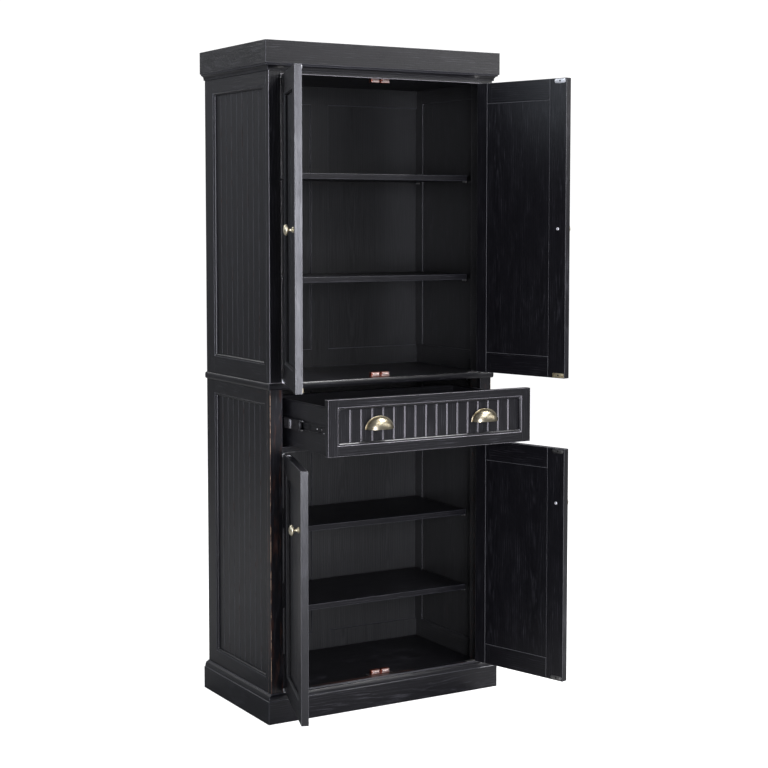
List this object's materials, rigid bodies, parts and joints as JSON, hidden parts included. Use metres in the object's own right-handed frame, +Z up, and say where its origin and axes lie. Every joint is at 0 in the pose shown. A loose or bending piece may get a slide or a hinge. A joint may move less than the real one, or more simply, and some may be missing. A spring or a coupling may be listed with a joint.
{
  "type": "pantry cabinet",
  "caption": "Tall black distressed pantry cabinet: framed compartments with paired beadboard doors above and below a full-width drawer, adjustable shelves inside.",
  "frame": {"origin": "centre of the plinth's footprint, on the floor", "axes": "+Z up, the doors and the drawer face -Y, the back faces +Y, +X to the right seen from the front"},
  "size_m": [0.8721, 0.7192, 1.829],
  "materials": {
    "painted_wood": "satin black paint over open grain, rubbed through on arrises and beads",
    "painted_interior": "satin black paint over open grain, unworn",
    "antique_brass": "brushed antique brass with dark recesses",
    "slide_steel": "black zinc plating",
    "hinge_steel": "satin nickel plating",
    "catch_copper": "copper-brown plating"
  },
  "bodies": {
    "cabinet": {"crown": "painted_wood", "waist_board": "painted_wood", "plinth": "painted_wood", "upper_ceiling_board": "painted_interior", "lower_floor_board": "painted_interior", "upper_high_shelf": "painted_interior", "upper_low_shelf": "painted_interior", "lower_high_shelf": "painted_interior", "lower_low_shelf": "painted_interior", "upper_back": "painted_interior", "lower_back": "painted_interior", "upper_left_side_frame": "painted_wood", "upper_left_side_panel": "painted_wood", "upper_right_side_frame": "painted_wood", "upper_right_side_panel": "painted_wood", "lower_left_side_frame": "painted_wood", "lower_left_side_panel": "painted_wood", "lower_right_side_frame": "painted_wood", "lower_right_side_panel": "painted_wood", "upper_face_frame": "painted_wood", "lower_face_frame": "painted_wood", "upper_top_catch": "catch_copper", "upper_bottom_catch": "catch_copper", "lower_top_catch": "catch_copper", "lower_bottom_catch": "catch_copper", "left_slide_outer": "slide_steel", "right_slide_outer": "slide_steel"},
    "upper_left_door": {"upper_left_door_frame": "painted_wood", "upper_left_door_panel": "painted_wood", "upper_left_door_knob": "antique_brass", "upper_left_door_top_hinge": "hinge_steel", "upper_left_door_bottom_hinge": "hinge_steel"},
    "upper_right_door": {"upper_right_door_frame": "painted_wood", "upper_right_door_panel": "painted_wood", "upper_right_door_knob": "antique_brass", "upper_right_door_top_hinge": "hinge_steel", "upper_right_door_bottom_hinge": "hinge_steel"},
    "lower_left_door": {"lower_left_door_frame": "painted_wood", "lower_left_door_panel": "painted_wood", "lower_left_door_knob": "antique_brass", "lower_left_door_top_hinge": "hinge_steel", "lower_left_door_bottom_hinge": "hinge_steel"},
    "lower_right_door": {"lower_right_door_frame": "painted_wood", "lower_right_door_panel": "painted_wood", "lower_right_door_knob": "antique_brass", "lower_right_door_top_hinge": "hinge_steel", "lower_right_door_bottom_hinge": "hinge_steel"},
    "drawer": {"drawer_front_frame": "painted_wood", "drawer_front_panel": "painted_wood", "drawer_bottom": "painted_interior", "drawer_back": "painted_interior", "drawer_left_side": "painted_interior", "drawer_right_side": "painted_interior", "drawer_left_pull": "antique_brass", "drawer_right_pull": "antique_brass", "left_slide_inner": "slide_steel", "right_slide_inner": "slide_steel"},
    "left_slide_carriage": {"left_slide_middle": "slide_steel"},
    "right_slide_carriage": {"right_slide_middle": "slide_steel"}
  },
  "joints": [
    {"name": "upper_left_door_hinge", "type": "hinge", "parent": "cabinet", "child": "upper_left_door", "pos_m": [-0.3185, -0.198, 1.3325], "axis": [0, 0, -1], "range_deg": [-111.5, 8.5]},
    {"name": "upper_right_door_hinge", "type": "hinge", "parent": "cabinet", "child": "upper_right_door", "pos_m": [0.3185, -0.198, 1.3325], "axis": [0, 0, 1], "range_deg": [-106, 14]},
    {"name": "lower_left_door_hinge", "type": "hinge", "parent": "cabinet", "child": "lower_left_door", "pos_m": [-0.3185, -0.198, 0.407], "axis": [0, 0, -1], "range_deg": [-109.3, 10.7]},
    {"name": "lower_right_door_hinge", "type": "hinge", "parent": "cabinet", "child": "lower_right_door", "pos_m": [0.3185, -0.198, 0.407], "axis": [0, 0, 1], "range_deg": [-106.2, 13.8]},
    {"name": "drawer_slide", "type": "slide", "parent": "cabinet", "child": "drawer", "axis": [0, -1, 0], "range_m": [-0.252, 0.088]},
    {"name": "left_carriage_slide", "type": "slide", "parent": "cabinet", "child": "left_slide_carriage", "axis": [0, -1, 0], "range_m": [-0.126, 0.044]},
    {"name": "right_carriage_slide", "type": "slide", "parent": "cabinet", "child": "right_slide_carriage", "axis": [0, -1, 0], "range_m": [-0.126, 0.044]}
  ],
  "couplings": [
    {"joint": "left_carriage_slide", "follows": "drawer_slide", "ratio": 0.5},
    {"joint": "right_carriage_slide", "follows": "drawer_slide", "ratio": 0.5}
  ]
}
